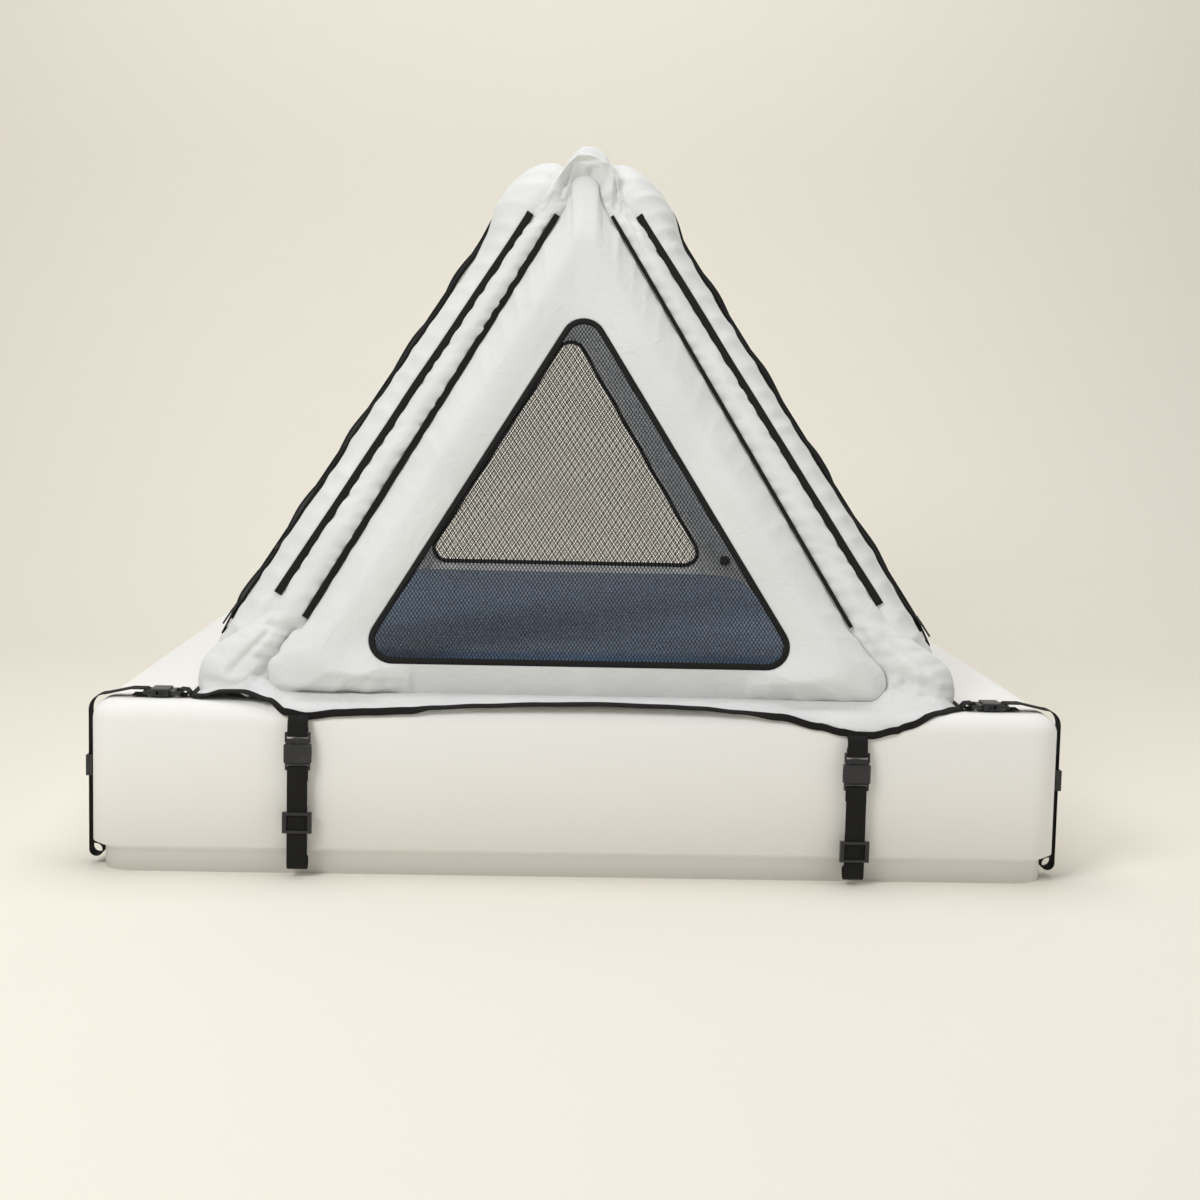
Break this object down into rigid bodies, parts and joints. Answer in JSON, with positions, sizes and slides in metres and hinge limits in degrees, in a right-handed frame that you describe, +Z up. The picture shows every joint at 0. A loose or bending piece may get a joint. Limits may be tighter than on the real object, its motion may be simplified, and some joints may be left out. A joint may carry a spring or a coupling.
{
  "type": "inflatable travel bed",
  "caption": "Ridge-shaped enclosure on inflatable beams with mesh ends, zipped mesh doors, a ground sheet, a mat and buckled tie-down straps.",
  "frame": {"origin": "middle of the ground sheet's underside, on top of the bed it is strapped to", "axes": "+Z up, +Y from the foot end to the head end, +X across to the right as seen from the foot end"},
  "size_m": [1.5674, 2.052, 1.1901],
  "materials": {
    "shell": "matt coated fabric",
    "sheet": "matt coated fabric",
    "film": "film laminated to fabric",
    "mesh": "open net",
    "tape": "woven",
    "plastic": "satin moulded",
    "mat": "matt fabric"
  },
  "bodies": {
    "enclosure": {"buckle_prongs_foot_left": "plastic", "buckle_prongs_foot_right": "plastic", "buckle_prongs_head_left": "plastic", "buckle_prongs_head_right": "plastic", "buckle_prongs_left_foot": "plastic", "buckle_prongs_left_head": "plastic", "buckle_prongs_right_foot": "plastic", "buckle_prongs_right_head": "plastic", "front_air_beam": "film", "front_left_gusset": "shell", "front_right_gusset": "shell", "front_sleeve": "shell", "front_window": "mesh", "ground_sheet": "sheet", "hem_binding": "tape", "left_air_beam": "film", "left_door_zip": "tape", "left_sleeve": "shell", "rear_air_beam": "film", "rear_left_gusset": "shell", "rear_right_gusset": "shell", "rear_sleeve": "shell", "rear_window": "mesh", "ridge_gusset": "shell", "right_air_beam": "film", "right_door_zip": "tape", "right_sleeve": "shell", "sleeping_mat": "mat"},
    "left_door_panel": {"left_door": "mesh"},
    "left_slider": {"left_zip_slider": "plastic"},
    "right_door_panel": {"right_door": "mesh"},
    "right_slider": {"right_zip_slider": "plastic"},
    "front_cap": {"front_valve_cap": "plastic"},
    "rear_cap": {"rear_valve_cap": "plastic"},
    "right_cap": {"right_valve_cap": "plastic"},
    "left_cap": {"left_valve_cap": "plastic"},
    "strap_end_foot_left": {"buckle_body_foot_left": "plastic", "strap_foot_left": "tape"},
    "glide_foot_left": {"tri_glide_foot_left": "plastic"},
    "strap_end_foot_right": {"buckle_body_foot_right": "plastic", "strap_foot_right": "tape"},
    "glide_foot_right": {"tri_glide_foot_right": "plastic"},
    "strap_end_head_left": {"buckle_body_head_left": "plastic", "strap_head_left": "tape"},
    "glide_head_left": {"tri_glide_head_left": "plastic"},
    "strap_end_head_right": {"buckle_body_head_right": "plastic", "strap_head_right": "tape"},
    "glide_head_right": {"tri_glide_head_right": "plastic"},
    "strap_end_left_foot": {"buckle_body_left_foot": "plastic", "strap_left_foot": "tape"},
    "glide_left_foot": {"tri_glide_left_foot": "plastic"},
    "strap_end_left_head": {"buckle_body_left_head": "plastic", "strap_left_head": "tape"},
    "glide_left_head": {"tri_glide_left_head": "plastic"},
    "strap_end_right_foot": {"buckle_body_right_foot": "plastic", "strap_right_foot": "tape"},
    "glide_right_foot": {"tri_glide_right_foot": "plastic"},
    "strap_end_right_head": {"buckle_body_right_head": "plastic", "strap_right_head": "tape"},
    "glide_right_head": {"tri_glide_right_head": "plastic"}
  },
  "joints": [
    {"name": "left_door_hinge", "type": "hinge", "parent": "enclosure", "child": "left_door_panel", "pos_m": [-0.59806, 0, 0.07866], "axis": [0, -1, 0], "range_deg": [0, 115]},
    {"name": "left_zip_slide", "type": "slide", "parent": "enclosure", "child": "left_slider", "axis": [0.5028, 0.3098, 0.807], "range_m": [0, 0.835]},
    {"name": "right_door_hinge", "type": "hinge", "parent": "enclosure", "child": "right_door_panel", "pos_m": [0.59806, 0, 0.07866], "axis": [0, 1, 0], "range_deg": [0, 115]},
    {"name": "right_zip_slide", "type": "slide", "parent": "enclosure", "child": "right_slider", "axis": [-0.5028, 0.3098, 0.807], "range_m": [0, 0.835]},
    {"name": "front_cap_hinge", "type": "hinge", "parent": "enclosure", "child": "front_cap", "pos_m": [-0.39644, -0.85183, 0.07567], "axis": [-1, 0, 0], "range_deg": [0, 120]},
    {"name": "rear_cap_hinge", "type": "hinge", "parent": "enclosure", "child": "rear_cap", "pos_m": [0.39644, 0.85183, 0.07567], "axis": [1, 0, 0], "range_deg": [0, 120]},
    {"name": "right_cap_hinge", "type": "hinge", "parent": "enclosure", "child": "right_cap", "pos_m": [0.50901, -0.83261, 0.05915], "axis": [0, -1, 0], "range_deg": [0, 120]},
    {"name": "left_cap_hinge", "type": "hinge", "parent": "enclosure", "child": "left_cap", "pos_m": [-0.50901, 0.83261, 0.05915], "axis": [0, 1, 0], "range_deg": [0, 120]},
    {"name": "buckle_slide_foot_left", "type": "slide", "parent": "enclosure", "child": "strap_end_foot_left", "axis": [0, 0, -1], "range_m": [0, 0.03]},
    {"name": "glide_slide_foot_left", "type": "slide", "parent": "strap_end_foot_left", "child": "glide_foot_left", "axis": [0, 0, 1], "range_m": [-0.031, 0.04]},
    {"name": "buckle_slide_foot_right", "type": "slide", "parent": "enclosure", "child": "strap_end_foot_right", "axis": [0, 0, -1], "range_m": [0, 0.03]},
    {"name": "glide_slide_foot_right", "type": "slide", "parent": "strap_end_foot_right", "child": "glide_foot_right", "axis": [0, 0, 1], "range_m": [-0.002, 0.04]},
    {"name": "buckle_slide_head_left", "type": "slide", "parent": "enclosure", "child": "strap_end_head_left", "axis": [0, 0, -1], "range_m": [0, 0.03]},
    {"name": "glide_slide_head_left", "type": "slide", "parent": "strap_end_head_left", "child": "glide_head_left", "axis": [0, 0, 1], "range_m": [-0.018, 0.04]},
    {"name": "buckle_slide_head_right", "type": "slide", "parent": "enclosure", "child": "strap_end_head_right", "axis": [0, 0, -1], "range_m": [0, 0.03]},
    {"name": "glide_slide_head_right", "type": "slide", "parent": "strap_end_head_right", "child": "glide_head_right", "axis": [0, 0, 1], "range_m": [-0.018, 0.04]},
    {"name": "buckle_slide_left_foot", "type": "slide", "parent": "enclosure", "child": "strap_end_left_foot", "axis": [-1, 0, 0], "range_m": [0, 0.03]},
    {"name": "glide_slide_left_foot", "type": "slide", "parent": "strap_end_left_foot", "child": "glide_left_foot", "axis": [0, 0, 1], "range_m": [-0.104, 0.04]},
    {"name": "buckle_slide_left_head", "type": "slide", "parent": "enclosure", "child": "strap_end_left_head", "axis": [-1, 0, 0], "range_m": [0, 0.03]},
    {"name": "glide_slide_left_head", "type": "slide", "parent": "strap_end_left_head", "child": "glide_left_head", "axis": [0, 0, 1], "range_m": [-0.104, 0.04]},
    {"name": "buckle_slide_right_foot", "type": "slide", "parent": "enclosure", "child": "strap_end_right_foot", "axis": [1, 0, 0], "range_m": [0, 0.03]},
    {"name": "glide_slide_right_foot", "type": "slide", "parent": "strap_end_right_foot", "child": "glide_right_foot", "axis": [0, 0, 1], "range_m": [-0.104, 0.04]},
    {"name": "buckle_slide_right_head", "type": "slide", "parent": "enclosure", "child": "strap_end_right_head", "axis": [1, 0, 0], "range_m": [0, 0.03]},
    {"name": "glide_slide_right_head", "type": "slide", "parent": "strap_end_right_head", "child": "glide_right_head", "axis": [0, 0, 1], "range_m": [-0.104, 0.04]}
  ]
}
